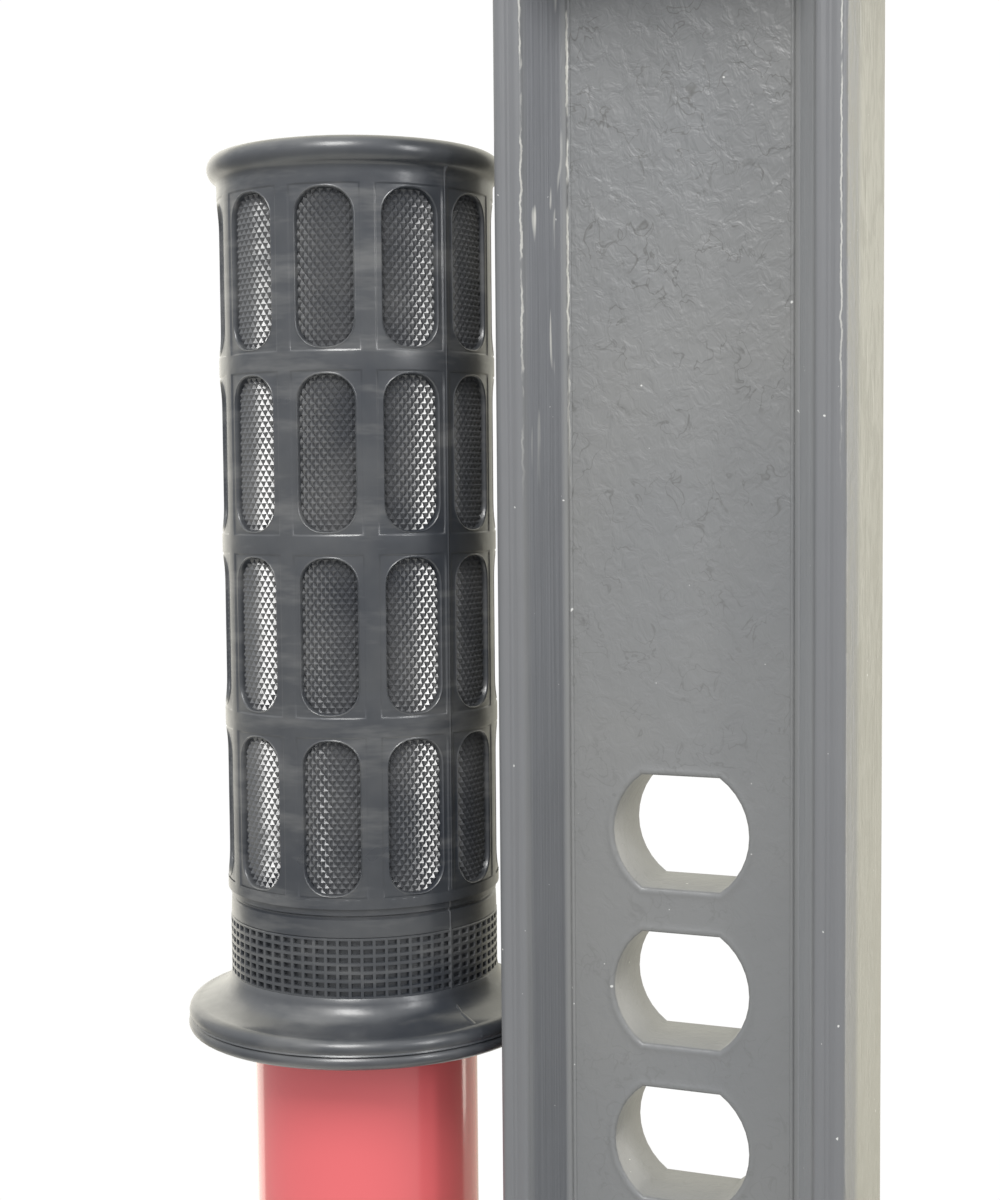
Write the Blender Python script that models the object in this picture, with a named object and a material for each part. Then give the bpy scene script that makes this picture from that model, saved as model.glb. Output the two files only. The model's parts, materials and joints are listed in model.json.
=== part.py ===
"""A farm jack: punched I-beam bar, base, two runners with climbing pins, linkage, handle, grip, top clevis.

Shapes are drawn in millimetres and scaled to metres when their mesh is made. +Z runs up the bar, +X points to
the lifting nose, -X to the handle, and the bar's holes run along Y. The origin is the centre of the base's
flat underside.
"""

import math

import bmesh
import bpy
from mathutils import Matrix, Vector

MM = 0.001
GAP = 0.3

# climbing bar
BAR_WIDTH = 45.9
BAR_DEPTH = 24.4
WEB_THICKNESS = 11.2
FLANGE_TIP = 4.0
FLANGE_TAPER = 3.4
BAR_LOW = 12.0
BAR_HIGH = 1077.0
HOLE_RADIUS = 9.1
HOLE_HEIGHT = 14.9
HOLE_PITCH = 20.8
HOLE_COUNT = 44
FIRST_HOLE = 32.6
CLEVIS_HOLE = 1056.0
CLEVIS_BOLT_HOLE = 6.6

# base
BASE_LENGTH = 178.0
BASE_DEPTH = 114.0
BASE_PLATE = 8.0
BOSS_HEIGHT = 52.0
BOSS_LENGTH = 66.0
BOSS_DEPTH = 48.0
BASE_BOLT_HOLE = 6.7

# clevis
CLEVIS_HALF = 14.0
CLEVIS_PIN_X = 60.0
CHAIN_SLOT_HALF = 6.5
CLIP_Y = 17.5

# runners: both are sleeves around the bar
POCKET_LENGTH = BAR_WIDTH + 1.0
POCKET_DEPTH = BAR_DEPTH + 1.0
SLEEVE_DEPTH = 41.0
LARGE_LOW = BOSS_HEIGHT + GAP
LARGE_HIGH = 136.0
SMALL_LOW = 158.0
SMALL_HIGH = 222.0
NOSE_TOP = 111.7
NOSE_REACH = 90.0
LUG_HALF = 6.7
SHEAR_HOLE = 5.3
PITMAN_HOLE = 5.1

# climbing pins, drawn withdrawn from the bar
PIN_RADIUS = 6.8
PIN_TRAVEL = 13.0
BARREL_RADIUS = 13.0
BARREL_END = -48.0
LARGE_PIN_HEIGHT = FIRST_HOLE + 3 * HOLE_PITCH
SMALL_PIN_HEIGHT = FIRST_HOLE + 8 * HOLE_PITCH

# handle linkage: the pitman's lower pin swings evenly above and below the shear bolt
HANDLE_SWING = math.radians(85.0)
SHEAR_X = -52.0
SHEAR_Z = 118.0
CRANK = HOLE_PITCH / (2 * math.sin(HANDLE_SWING / 2))
LOWER_X = SHEAR_X - CRANK * math.cos(HANDLE_SWING / 2)
LOWER_Z = SHEAR_Z + CRANK * math.sin(HANDLE_SWING / 2)
PITMAN_LENGTH = 44.0
UPPER_Z = LOWER_Z + PITMAN_LENGTH
SLOT_LENGTH = CRANK * (1 - math.cos(HANDLE_SWING / 2))
CHEEK_NEAR = 7.2
CHEEK_FAR = 11.2
ARM_NEAR = 11.7
ARM_FAR = 17.2
BRIDGE_LOW = SHEAR_Z + 68.0
BRIDGE_HIGH = BRIDGE_LOW + 12.0

# handle
HANDLE_X = -48.6
TUBE_RADIUS = 15.875
TUBE_WALL = 2.65
TUBE_LOW = BRIDGE_HIGH + GAP
SPIGOT_HIGH = TUBE_LOW + 62.0
SOCKET_BOLT_Z = TUBE_LOW + 36.0
GRIP_TOP = 1017.9
GRIP_LENGTH = 121.8
GRIP_RADIUS = 19.2
GRIP_BEAD_RADIUS = 20.6
GRIP_FLANGE_RADIUS = 25.1

# reversing latch
LATCH_X = 22.0
LATCH_Z = 112.0


def material(name, colour, metallic, roughness):
    made = bpy.data.materials.new(name)
    made.use_nodes = True
    shader = made.node_tree.nodes["Principled BSDF"]
    shader.inputs["Base Color"].default_value = (*colour, 1.0)
    shader.inputs["Metallic"].default_value = metallic
    shader.inputs["Roughness"].default_value = roughness
    made.diffuse_color = (*colour, 1.0)
    return made


def body_from(name, bm):
    """An object from a bmesh drawn in millimetres."""
    bmesh.ops.recalc_face_normals(bm, faces=bm.faces)
    bmesh.ops.scale(bm, vec=(MM, MM, MM), verts=bm.verts)
    mesh = bpy.data.meshes.new(name)
    bm.to_mesh(mesh)
    bm.free()
    made = bpy.data.objects.new(name, mesh)
    bpy.context.scene.collection.objects.link(made)
    mesh.shade_smooth()
    mesh.set_sharp_from_angle(angle=math.radians(35))
    return made


def prism(name, outline, axis, low, high):
    """A closed outline pushed along Y or Z. Outline points are (x, z) for Y and (x, y) for Z."""
    bm = bmesh.new()
    if axis == "Y":
        ring = [bm.verts.new((x, low, z)) for x, z in outline]
        push = Vector((0, high - low, 0))
    else:
        ring = [bm.verts.new((x, y, low)) for x, y in outline]
        push = Vector((0, 0, high - low))
    face = bm.faces.new(ring)
    moved = bmesh.ops.extrude_face_region(bm, geom=[face])
    corners = [item for item in moved["geom"] if isinstance(item, bmesh.types.BMVert)]
    bmesh.ops.translate(bm, vec=push, verts=corners)
    return body_from(name, bm)


def arc(centre, radius, start, end, steps):
    """Points on an arc between two angles in degrees, both ends included."""
    angles = [math.radians(start + (end - start) * i / steps) for i in range(steps + 1)]
    return [(centre[0] + radius * math.cos(a), centre[1] + radius * math.sin(a)) for a in angles]


def circle(centre, radius, steps=24):
    return arc(centre, radius, 0, 360 * (steps - 1) / steps, steps - 1)


def hexagon(centre, across):
    return circle(centre, across / math.sqrt(3), 6)


def rounded(x_low, x_high, y_low, y_high, radius, steps=3):
    """A rectangle with round corners, counter-clockwise."""
    return (
        arc((x_high - radius, y_low + radius), radius, -90, 0, steps)
        + arc((x_high - radius, y_high - radius), radius, 0, 90, steps)
        + arc((x_low + radius, y_high - radius), radius, 90, 180, steps)
        + arc((x_low + radius, y_low + radius), radius, 180, 270, steps)
    )


def hull(points):
    """The convex outline around points, counter-clockwise."""
    ordered = sorted(set(points))

    def half(run):
        kept = []
        for point in run:
            while len(kept) > 1:
                (ax, ay), (bx, by) = kept[-2], kept[-1]
                if (bx - ax) * (point[1] - ay) - (by - ay) * (point[0] - ax) > 1e-9:
                    break
                kept.pop()
            kept.append(point)
        return kept[:-1]

    return half(ordered) + half(reversed(ordered))


def rod(name, axis, centre, radius, low, high, steps=24):
    """A cylinder along X, Y or Z. The centre gives the two other coordinates, in order."""
    if axis == "X":
        made = prism(name, circle((0, 0), radius, steps), "Z", low, high)
        turn = Matrix.Translation((0, centre[0], centre[1])) @ Matrix.Rotation(math.pi / 2, 4, "Y")
        turn = Matrix.Scale(MM, 4) @ turn @ Matrix.Scale(1 / MM, 4)
        made.data.transform(turn)
        return made
    return prism(name, circle(centre, radius, steps), axis, low, high)


def box(name, x, y, z):
    return prism(name, [(x[0], y[0]), (x[1], y[0]), (x[1], y[1]), (x[0], y[1])], "Z", z[0], z[1])


def turned(name, outline, x, steps=32):
    """A round body about a vertical axis at x. The outline's (radius, z) points are a closed loop."""
    bm = bmesh.new()
    rings = []
    for i in range(steps):
        angle = 2 * math.pi * i / steps
        ring = [bm.verts.new((x + r * math.cos(angle), r * math.sin(angle), z)) for r, z in outline]
        rings.append(ring)
    for i in range(steps):
        here = rings[i]
        there = rings[(i + 1) % steps]
        for j in range(len(outline)):
            k = (j + 1) % len(outline)
            if outline[j][0] > 0 or outline[k][0] > 0:
                bm.faces.new((here[j], there[j], there[k], here[k]))
    bmesh.ops.remove_doubles(bm, verts=bm.verts, dist=1e-5)
    bmesh.ops.dissolve_degenerate(bm, edges=bm.edges, dist=1e-5)
    return body_from(name, bm)


def combine(target, other, operation):
    """Adds a Boolean whose second object is a hidden helper."""
    step = target.modifiers.new(operation.lower(), "BOOLEAN")
    step.operation = operation
    step.solver = "EXACT"
    step.object = other
    other.hide_render = True
    other.display_type = "WIRE"


def cut(target, *others):
    for other in others:
        combine(target, other, "DIFFERENCE")


def join(target, *others):
    for other in others:
        combine(target, other, "UNION")


def dress(target, finish, pivot):
    """Gives a piece its material and the empty on its joint's axis as parent."""
    target.data.materials.append(finish)
    target.parent = pivot
    target.matrix_parent_inverse = Matrix.Translation(-pivot.location)
    return target


def pivot(name, x, y, z):
    made = bpy.data.objects.new(name, None)
    made.location = (x * MM, y * MM, z * MM)
    made.empty_display_size = 0.02
    bpy.context.scene.collection.objects.link(made)
    return made


def hole_outline(x, z):
    """A punched hole: round at both sides, flat above and below."""
    reach = math.degrees(math.asin(HOLE_HEIGHT / 2 / HOLE_RADIUS))
    right = arc((x, z), HOLE_RADIUS, -reach, reach, 6)
    left = arc((x, z), HOLE_RADIUS, 180 - reach, 180 + reach, 6)
    return right + left


def bar_outline():
    half_width = BAR_WIDTH / 2
    half_depth = BAR_DEPTH / 2
    half_web = WEB_THICKNESS / 2
    tip = half_width - FLANGE_TIP
    root = tip - FLANGE_TAPER
    quarter = [
        (half_width, half_depth - 1.0),
        (half_width - 0.3, half_depth - 0.3),
        (half_width - 1.0, half_depth),
        (tip + 0.7, half_depth),
        (tip, half_depth - 0.5),
        (root + 0.9, half_web + 0.9),
        (root - 0.5, half_web + 0.1),
        (root - 1.6, half_web),
    ]
    upper = quarter + [(-x, y) for x, y in reversed(quarter)]
    return upper + [(-x, -y) for x, y in upper]


def make_bar(finish, base):
    bar = prism("climbing_bar", bar_outline(), "Z", BAR_LOW, BAR_HIGH)
    punch = bmesh.new()
    reach = WEB_THICKNESS
    for i in range(HOLE_COUNT):
        outline = hole_outline(0, FIRST_HOLE + i * HOLE_PITCH)
        near = [punch.verts.new((x, -reach, z)) for x, z in outline]
        far = [punch.verts.new((x, reach, z)) for x, z in outline]
        punch.faces.new(near)
        punch.faces.new(list(reversed(far)))
        for j in range(len(outline)):
            k = (j + 1) % len(outline)
            punch.faces.new((near[j], far[j], far[k], near[k]))
    cut(bar, body_from("punch", punch))
    cut(bar, rod("clevis_bolt_hole", "Y", (0, CLEVIS_HOLE), CLEVIS_BOLT_HOLE, -reach, reach, 16))
    dress(bar, finish, base)


def bolt(name, centre, radius, across, seat, end, head=7.0, steps=16):
    """A hex-head bolt along Y. Its head sits on the -Y side of seat, and its shank runs to end."""
    made = prism(name, hexagon(centre, across), "Y", seat - head, seat)
    join(made, rod(name + "_shank", "Y", centre, radius, seat - 1, end, steps))
    return made


def nut(name, centre, radius, across, low, high):
    made = prism(name, hexagon(centre, across), "Y", low, high)
    cut(made, rod(name + "_hole", "Y", centre, radius, low - 1, high + 1, 16))
    return made


def washer(name, centre, inner, outer, low, high):
    made = rod(name, "Y", centre, outer, low, high, 24)
    cut(made, rod(name + "_hole", "Y", centre, inner, low - 1, high + 1, 16))
    return made


def make_base(paint, zinc, base):
    half_length = BASE_LENGTH / 2
    half_depth = BASE_DEPTH / 2
    outline = rounded(-half_length, half_length, -half_depth, half_depth, 14.0, 4)
    plate = prism("base_plate", outline, "Z", 0.0, BASE_PLATE)
    half_boss = BOSS_LENGTH / 2
    boss_outline = rounded(-half_boss, half_boss, -BOSS_DEPTH / 2, BOSS_DEPTH / 2, 6.0)
    join(plate, prism("boss", boss_outline, "Z", BASE_PLATE - 2, BOSS_HEIGHT))
    for side in (-1, 1):
        for y in (-17.0, 17.0):
            rib = [(side * 30, 5), (side * 82, 5), (side * 82, 11), (side * 44, 30), (side * 30, 42)]
            join(plate, prism("rib", rib, "Y", y - 3.5, y + 3.5))
        rim = rounded(side * 83.5 - 3.0, side * 83.5 + 3.0, -40, 40, 2.5)
        join(plate, prism("rim", rim, "Z", 5, 13))
    pocket = rounded(-POCKET_LENGTH / 2, POCKET_LENGTH / 2, -POCKET_DEPTH / 2, POCKET_DEPTH / 2, 1.0, 1)
    cut(plate, prism("socket", pocket, "Z", BAR_LOW - GAP, BOSS_HEIGHT + 5))
    centre = (0, FIRST_HOLE)
    cut(plate, rod("base_bolt_hole", "Y", centre, BASE_BOLT_HOLE, -40, 40, 16))
    dress(plate, paint, base)
    seat = -BOSS_DEPTH / 2 - GAP
    dress(bolt("base_bolt", centre, 6.35, 19, seat, 41.0), zinc, base)
    dress(washer("base_washer", centre, BASE_BOLT_HOLE, 13.0, 24.3, 26.8), zinc, base)
    dress(nut("base_nut", centre, BASE_BOLT_HOLE, 19, 27.1, 37.5), zinc, base)


def make_clevis(paint, zinc, base):
    low = CLEVIS_HOLE - CLEVIS_HALF
    high = CLEVIS_HOLE + CLEVIS_HALF
    pin_centre = (CLEVIS_PIN_X, CLEVIS_HOLE)
    outer = rounded(-19, 36, -19.5, 19.5, 4.0)
    body = prism("clevis_body", outer, "Z", low, high)
    ears = hull(circle(pin_centre, 12, 24) + [(34, low + 0.6), (34, high - 0.6)])
    join(body, prism("ears", ears, "Y", -14, 14))
    half = POCKET_LENGTH / 2
    cut(body, box("bar_way", (-30, half), (-POCKET_DEPTH / 2, POCKET_DEPTH / 2), (low - 5, high + 5)))
    cut(body, box("chain_slot", (39, 90), (-CHAIN_SLOT_HALF, CHAIN_SLOT_HALF), (low - 5, high + 5)))
    cut(body, rod("clevis_pin_way", "Y", pin_centre, 5.3, -40, 40, 20))
    cut(body, rod("clevis_bolt_way", "Y", (0, CLEVIS_HOLE), CLEVIS_BOLT_HOLE, -40, 40, 20))
    dress(body, paint, base)
    dress(bolt("clevis_bolt", (0, CLEVIS_HOLE), 6.2, 19, -19.8, 32.0), zinc, base)
    dress(nut("clevis_nut", (0, CLEVIS_HOLE), 6.5, 19, 19.8, 30.0), zinc, base)
    pin = rod("clevis_pin", "Y", pin_centre, 8.5, -18.0, -14.3, 20)
    join(pin, rod("clevis_pin_shank", "Y", pin_centre, 5.0, -16, 21.0, 16))
    cut(pin, rod("clip_way", "Z", (CLEVIS_PIN_X, CLIP_Y), 1.5, low - 6, high + 6, 10))
    dress(pin, zinc, base)
    dress(ring_clip("clevis_pin_clip", CLEVIS_PIN_X, CLIP_Y, CLEVIS_HOLE), zinc, base)


def swept(name, path, radius, sides):
    """A round wire along a path of points."""
    curve = bpy.data.curves.new(name, "CURVE")
    curve.dimensions = "3D"
    curve.bevel_depth = radius * MM
    curve.bevel_resolution = sides
    curve.use_fill_caps = True
    spline = curve.splines.new("POLY")
    spline.points.add(len(path) - 1)
    for point, place in zip(spline.points, path):
        point.co = (place[0] * MM, place[1] * MM, place[2] * MM, 1)
    made = bpy.data.objects.new(name, curve)
    bpy.context.scene.collection.objects.link(made)
    return made


def ring_clip(name, x, y, z):
    """A wire clip: a straight leg through the pin, then a bow round its outside."""
    radius = 8.2
    leg = [(x, y, z - 9.5), (x, y, z + 5.0)]
    bow = [
        (x + radius * math.sin(t), y, z + 0.8 + radius * math.cos(t))
        for t in [math.pi * i / 12 for i in range(1, 11)]
    ]
    return swept(name, leg + [(x, y, z + 8.6)] + bow, 1.1, 2)


def sleeve(name, x_low, x_high, low, high):
    half_depth = SLEEVE_DEPTH / 2
    return prism(name, rounded(x_low, x_high, -half_depth, half_depth, 5.0), "Z", low, high)


def bore_sleeve(target, low, high):
    half_length = POCKET_LENGTH / 2
    half_depth = POCKET_DEPTH / 2
    outline = rounded(-half_length, half_length, -half_depth, half_depth, 1.0, 1)
    cut(target, prism("bar_way", outline, "Z", low - 5, high + 5))


def add_barrel(target, height):
    """The climbing pin's barrel on the -Y side, open at both sides so that the spring shows."""
    join(target, rod("barrel", "Y", (0, height), BARREL_RADIUS, BARREL_END, -SLEEVE_DEPTH / 2 + 2))


def bore_barrel(target, height):
    cut(target, rod("pin_way", "Y", (0, height), 7.2, BARREL_END - 1, 0, 20))
    cut(target, rod("spring_way", "Y", (0, height), 9.9, BARREL_END - 1, -16.5, 20))
    cut(target, box("window", (-16, 16), (-43, -28), (height - 5, height + 5)))


def make_large_runner(paint, zinc, runner):
    body = sleeve("large_runner", -31.0, 33.0, LARGE_LOW, LARGE_HIGH)
    nose = [
        (30, 57),
        (44, 57),
        (84, 96),
        (NOSE_REACH, 104),
        (NOSE_REACH, 118),
        (85.5, 118),
        (81, NOSE_TOP),
        (30, NOSE_TOP),
    ]
    join(body, prism("nose", nose, "Y", -17, 17))
    lug = hull(circle((SHEAR_X, SHEAR_Z), 9.8, 28) + [(-29, 99), (-29, 134)])
    join(body, prism("handle_lug", lug, "Y", -LUG_HALF, LUG_HALF))
    add_barrel(body, LARGE_PIN_HEIGHT)
    foot = [(-29, 99), (-29, 70), (-38, 84), (-38, 104)]
    join(body, prism("lug_rib", foot, "Y", -4, 4))
    join(body, rod("latch_boss", "Y", (LATCH_X, LATCH_Z), 8.0, -20.6, -15, 20))
    bore_sleeve(body, LARGE_LOW, LARGE_HIGH)
    bore_barrel(body, LARGE_PIN_HEIGHT)
    cut(body, rod("shear_way", "Y", (SHEAR_X, SHEAR_Z), SHEAR_HOLE, -20, 20, 20))
    cut(body, rod("latch_way", "Y", (LATCH_X, LATCH_Z), 3.9, -22, -10, 16))
    dress(body, paint, runner)
    shear = bolt("shear_bolt", (SHEAR_X, SHEAR_Z), 5.0, 16, -ARM_FAR - GAP, 28.0)
    dress(shear, zinc, runner)
    dress(nut("shear_bolt_nut", (SHEAR_X, SHEAR_Z), SHEAR_HOLE, 16, ARM_FAR + GAP, 26.0), zinc, runner)


def make_small_runner(paint, small):
    body = sleeve("small_runner", -30.3, 31.0, SMALL_LOW, SMALL_HIGH)
    slot_far = LOWER_X - SLOT_LENGTH
    lug = hull(
        circle((slot_far, UPPER_Z), 9.5, 24)
        + [(-29, UPPER_Z + 9.5), (-29, SMALL_LOW + 1.4), (-48, SMALL_LOW + 1.4)]
    )
    join(body, prism("pitman_lug", lug, "Y", -LUG_HALF, LUG_HALF))
    add_barrel(body, SMALL_PIN_HEIGHT)
    bore_sleeve(body, SMALL_LOW, SMALL_HIGH)
    bore_barrel(body, SMALL_PIN_HEIGHT)
    slot = hull(circle((LOWER_X, UPPER_Z), 6.0, 20) + circle((slot_far, UPPER_Z), 6.0, 20))
    cut(body, prism("pitman_slot", slot, "Y", -20, 20))
    dress(body, paint, small)


def make_climbing_pin(which, height, steel, zinc, spring_steel, pin_pivot, holder):
    """A wedge-ended pin with its collar and tail, the cross pin, the spring and the barrel's cap."""
    name = which + "_climbing_pin"
    pin = rod(name, "Y", (0, height), PIN_RADIUS, -31, -7, 24)
    join(pin, rod(name + "_collar", "Y", (0, height), 9.3, -33, -30, 24))
    join(pin, rod(name + "_tail", "Y", (0, height), 4.6, -73, -32, 16))
    wedge = bmesh.new()
    corners = [(-17, height + 8), (-6, height + 8), (-6, height + 0.5)]
    near = [wedge.verts.new((-10, y, z)) for y, z in corners]
    far = [wedge.verts.new((10, y, z)) for y, z in corners]
    wedge.faces.new(near)
    wedge.faces.new(list(reversed(far)))
    for j in range(3):
        wedge.faces.new((near[j], far[j], far[(j + 1) % 3], near[(j + 1) % 3]))
    cut(pin, body_from(name + "_wedge", wedge))
    cut(pin, rod(name + "_cross_way", "X", (-68.5, height), 2.7, -10, 10, 12))
    dress(pin, steel, pin_pivot)
    dress(rod(which + "_cross_pin", "X", (-68.5, height), 2.35, -13, 13, 12), zinc, pin_pivot)
    coil = []
    turns = 4.5
    count = 54
    for i in range(count + 1):
        angle = 2 * math.pi * turns * i / count
        y = -34.5 - 12.4 * i / count
        coil.append((7.3 * math.cos(angle), y, height + 7.3 * math.sin(angle)))
    dress(swept(which + "_spring", coil, 0.85, 1), spring_steel, holder)
    cap = rod(which + "_spring_cap", "Y", (0, height), BARREL_RADIUS, -52.0, BARREL_END - GAP, 24)
    cut(cap, rod(which + "_cap_way", "Y", (0, height), 5.0, -60, -40, 16))
    dress(cap, zinc, holder)


def make_latch(paint, zinc, spring_steel, latch, runner):
    reach = math.radians(10)
    tip = (LATCH_X + 27 * math.cos(reach), LATCH_Z + 27 * math.sin(reach))
    lever = hull(circle((LATCH_X, LATCH_Z), 7.0, 20) + circle(tip, 4.5, 16))
    body = prism("reversing_latch", lever, "Y", -24.6, -20.9)
    finger = hull(circle((LATCH_X, LATCH_Z), 5.0, 16) + circle((LATCH_X - 8.0, LATCH_Z - 6.0), 2.8, 12))
    join(body, prism("finger", finger, "Y", -24.6, -20.9))
    tab = rounded(tip[0] - 2, tip[0] + 4, tip[1] - 9, tip[1] + 9, 1.5)
    join(body, prism("thumb_tab", tab, "Y", -34, -21.5))
    cut(body, rod("latch_hole", "Y", (LATCH_X, LATCH_Z), 3.9, -40, -10, 16))
    dress(body, paint, latch)
    screw = rod("latch_screw", "Y", (LATCH_X, LATCH_Z), 6.5, -28.0, -24.9, 20)
    join(screw, rod("latch_screw_shank", "Y", (LATCH_X, LATCH_Z), 3.5, -26, -14.5, 16))
    cut(screw, box("screw_slot", (LATCH_X - 8, LATCH_X + 8), (-30, -27), (LATCH_Z - 0.8, LATCH_Z + 0.8)))
    dress(screw, zinc, runner)
    strip = [(2, 121.2), (12, 120.4), (17, 119.7), (17, 120.9), (12, 121.6), (2, 122.4)]
    leaf = prism("latch_spring", strip, "Y", -25.5, -20.9)
    join(leaf, prism("spring_foot", rounded(0, 8, 120, 131, 1.5), "Y", -22.4, -20.9))
    dress(leaf, spring_steel, runner)


def make_socket(paint, zinc, handle):
    bridge = rounded(HANDLE_X - TUBE_RADIUS, HANDLE_X + TUBE_RADIUS, -ARM_FAR, ARM_FAR, 6.0)
    body = prism("handle_socket", bridge, "Z", BRIDGE_LOW, BRIDGE_HIGH)
    arm = hull(
        circle((SHEAR_X, SHEAR_Z), 12.0, 24)
        + circle((LOWER_X, LOWER_Z), 9.0, 24)
        + [
            (HANDLE_X - TUBE_RADIUS, BRIDGE_LOW + 6),
            (HANDLE_X + TUBE_RADIUS, BRIDGE_LOW + 6),
        ]
    )
    for side in (-1, 1):
        near, far = sorted((side * ARM_NEAR, side * (ARM_FAR - 0.05)))
        join(body, prism("arm", arm, "Y", near, far))
    spigot_radius = TUBE_RADIUS - TUBE_WALL - GAP
    join(body, rod("spigot", "Z", (HANDLE_X, 0), spigot_radius, BRIDGE_HIGH - 2, SPIGOT_HIGH, 28))
    cut(body, rod("shear_hole", "Y", (SHEAR_X, SHEAR_Z), SHEAR_HOLE, -30, 30, 20))
    cut(body, rod("lower_hole", "Y", (LOWER_X, LOWER_Z), PITMAN_HOLE, -30, 30, 20))
    cut(body, rod("socket_bolt_hole", "Y", (HANDLE_X, SOCKET_BOLT_Z), 5.3, -30, 30, 16))
    dress(body, paint, handle)
    centre = (HANDLE_X, SOCKET_BOLT_Z)
    dress(bolt("socket_bolt", centre, 4.9, 16, -TUBE_RADIUS - GAP, 26.0, 6.0), zinc, handle)
    dress(nut("socket_nut", centre, 5.2, 16, TUBE_RADIUS + GAP, 24.0), zinc, handle)


def make_tube(red, handle):
    high = GRIP_TOP - 4.0
    inner = TUBE_RADIUS - TUBE_WALL
    outline = [(inner, TUBE_LOW), (TUBE_RADIUS, TUBE_LOW), (TUBE_RADIUS, high), (inner, high)]
    tube = turned("handle_tube", outline, HANDLE_X, 40)
    cut(tube, rod("tube_bolt_hole", "Y", (HANDLE_X, SOCKET_BOLT_Z), 5.3, -30, 30, 16))
    dress(tube, red, handle)


def make_grip(rubber, handle):
    top = GRIP_TOP
    bore = TUBE_RADIUS + GAP
    bead_centre = top - 1.9
    bead = arc((GRIP_BEAD_RADIUS - 1.9, bead_centre), 1.9, 90, -60, 4)
    flange = arc((GRIP_FLANGE_RADIUS - 1.6, top - GRIP_LENGTH + 1.8), 1.6, 70, -90, 4)
    outline = (
        [(0, top)]
        + bead
        + [
            (GRIP_RADIUS, top - 4.0),
            (GRIP_RADIUS, top - 100.0),
            (18.7, top - 102.5),
            (18.8, top - 114.2),
        ]
        + [(21.6, top - 117.0)]
        + flange
        + [(bore, top - GRIP_LENGTH), (bore, top - 3.7), (0, top - 3.7)]
    )
    dress(turned("handle_grip", outline, HANDLE_X, 40), rubber, handle)


def make_pitman(paint, zinc, steel, handle, pitman):
    lower = (LOWER_X, LOWER_Z)
    upper = (LOWER_X, UPPER_Z)
    for which, low, high in (
        ("pitman_front", -CHEEK_FAR, -CHEEK_NEAR),
        ("pitman_back", CHEEK_NEAR, CHEEK_FAR),
    ):
        cheek = rod(which, "Y", lower, 8.5, low, high, 28)
        join(cheek, rod(which + "_eye", "Y", upper, 9.0, low, high, 28))
        shank = [
            (LOWER_X - 8.2, LOWER_Z),
            (LOWER_X + 4.6, LOWER_Z),
            (LOWER_X + 4.6, UPPER_Z - 16),
            (LOWER_X + 8.5, UPPER_Z - 3),
            (LOWER_X + 8.0, UPPER_Z),
            (LOWER_X - 8.4, UPPER_Z),
        ]
        join(cheek, prism(which + "_shank", shank, "Y", low + 0.02, high - 0.02))
        cut(cheek, rod(which + "_low_hole", "Y", lower, PITMAN_HOLE, -30, 30, 20))
        cut(cheek, rod(which + "_high_hole", "Y", upper, 5.25, -30, 30, 20))
        dress(cheek, paint, pitman)
    pin = rod("lower_pitman_pin", "Y", lower, 5.9, -20.6, -17.5, 20)
    join(pin, rod("lower_pin_shank", "Y", lower, 4.8, -19, 17.4, 20))
    join(pin, rod("lower_pin_neck", "Y", lower, 3.6, 17, 21, 16))
    join(pin, rod("lower_pin_end", "Y", lower, 4.8, 19.8, 22.0, 20))
    dress(pin, zinc, handle)
    dress(washer("lower_pitman_clip", lower, 3.9, 5.9, 17.8, 19.4), steel, handle)
    dress(rod("upper_pitman_pin", "Y", upper, 4.95, -11.1, 11.1, 20), zinc, pitman)


def main():
    for thing in list(bpy.data.objects):
        bpy.data.objects.remove(thing)
    grey = material("grey_hammer_paint", (0.27, 0.27, 0.28), 0.3, 0.4)
    red = material("red_gloss_paint", (0.62, 0.035, 0.035), 0.0, 0.22)
    cast_red = material("red_cast_paint", (0.5, 0.03, 0.03), 0.0, 0.4)
    black = material("black_cast_paint", (0.03, 0.03, 0.032), 0.0, 0.5)
    rubber = material("black_rubber", (0.04, 0.04, 0.042), 0.0, 0.6)
    zinc = material("zinc_plate", (0.62, 0.62, 0.6), 1.0, 0.35)
    steel = material("bare_steel", (0.42, 0.42, 0.42), 1.0, 0.35)
    spring_steel = material("spring_steel", (0.3, 0.3, 0.31), 1.0, 0.4)

    base = pivot("base_frame", 0, 0, 0)
    runner = pivot("large_runner_frame", 0, 0, LARGE_LOW)
    handle = pivot("handle_frame", SHEAR_X, 0, SHEAR_Z)
    pitman = pivot("pitman_frame", LOWER_X, 0, LOWER_Z)
    small = pivot("small_runner_frame", 0, 0, SMALL_LOW)
    lower_pin = pivot("lower_pin_frame", 0, -7, LARGE_PIN_HEIGHT)
    upper_pin = pivot("upper_pin_frame", 0, -7, SMALL_PIN_HEIGHT)
    latch = pivot("latch_frame", LATCH_X, -20.9, LATCH_Z)

    make_bar(grey, base)
    make_base(black, zinc, base)
    make_clevis(black, zinc, base)
    make_large_runner(cast_red, zinc, runner)
    make_small_runner(cast_red, small)
    make_climbing_pin("lower", LARGE_PIN_HEIGHT, steel, zinc, spring_steel, lower_pin, runner)
    make_climbing_pin("upper", SMALL_PIN_HEIGHT, steel, zinc, spring_steel, upper_pin, small)
    make_latch(black, zinc, spring_steel, latch, runner)
    make_socket(cast_red, zinc, handle)
    make_tube(red, handle)
    make_grip(rubber, handle)
    make_pitman(black, zinc, steel, handle, pitman)


main()
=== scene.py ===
"""The looks of a farm jack: grey painted bar, glossy red handle tube, rubber grip, painted castings."""

import json
import math

import bmesh
import bpy
from mathutils import Matrix, Vector


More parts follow.
